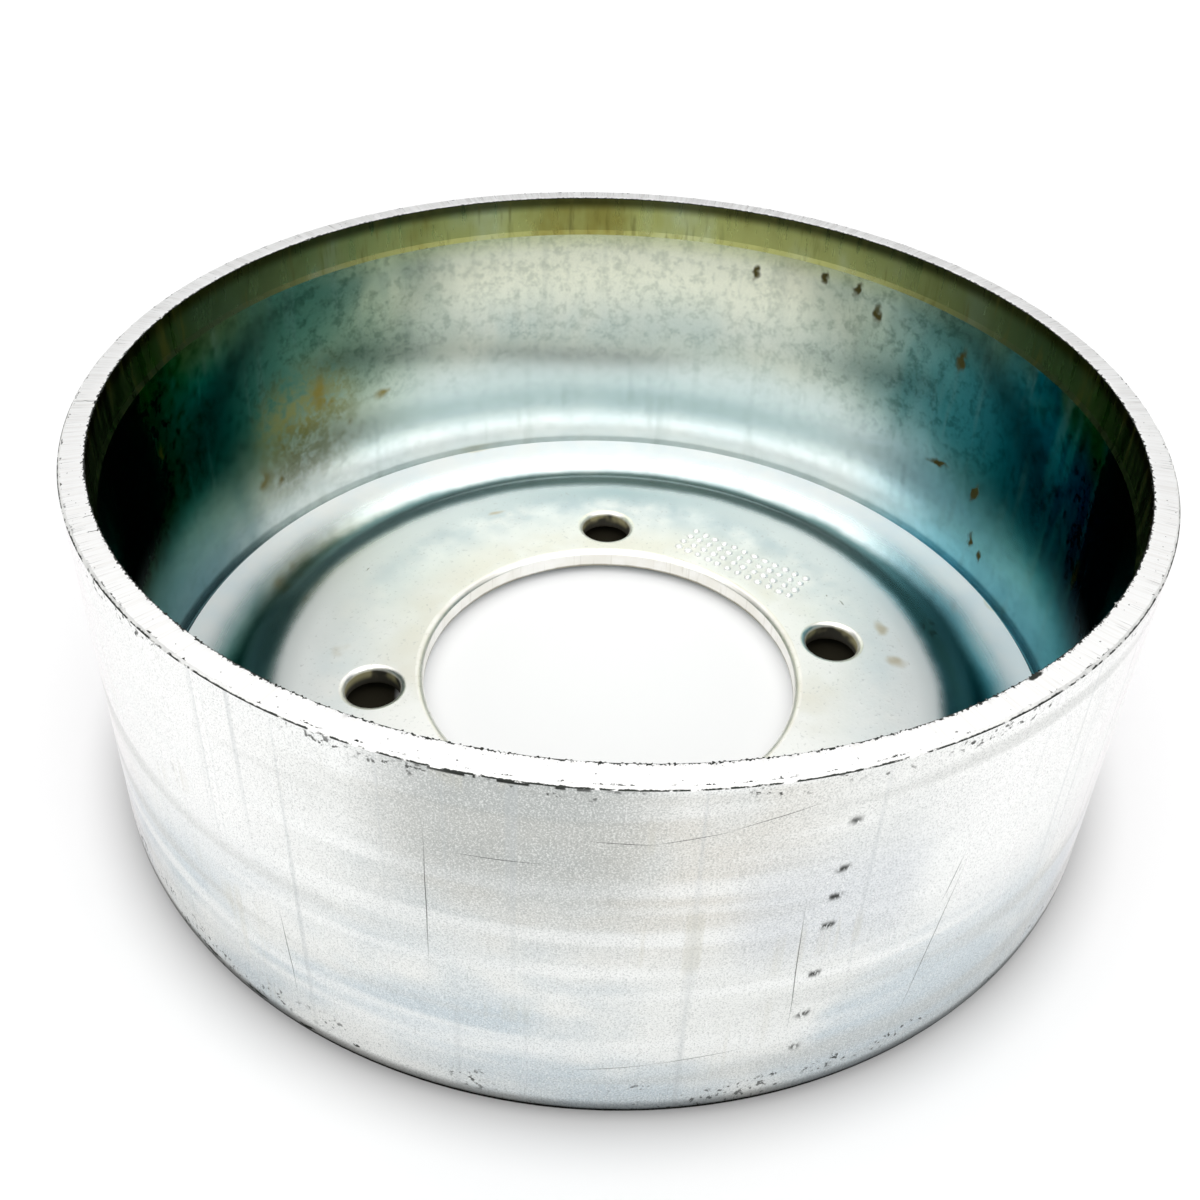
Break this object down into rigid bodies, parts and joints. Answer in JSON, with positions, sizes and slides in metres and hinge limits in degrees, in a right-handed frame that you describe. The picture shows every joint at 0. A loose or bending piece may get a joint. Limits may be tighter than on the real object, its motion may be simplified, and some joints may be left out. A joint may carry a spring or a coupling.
{
  "type": "brake drum",
  "caption": "Pressed steel brake drum, zinc plated, with a turned friction face, a raised web, a centre bore and bolt holes.",
  "frame": {"origin": "on the drum's axis, in the plane of the foot ring that it stands on", "axes": "+Z along the axis, out of the open mouth; X and Y along the long and short side of the bolt rectangle"},
  "size_m": [0.2134, 0.2134, 0.08],
  "materials": {
    "zinc_plated_steel": "bright zinc plate on pressed and turned steel, satin, with fine vertical brushing and light stains"
  },
  "bodies": {
    "root": {"brake_drum": "zinc_plated_steel"}
  },
  "joints": []
}
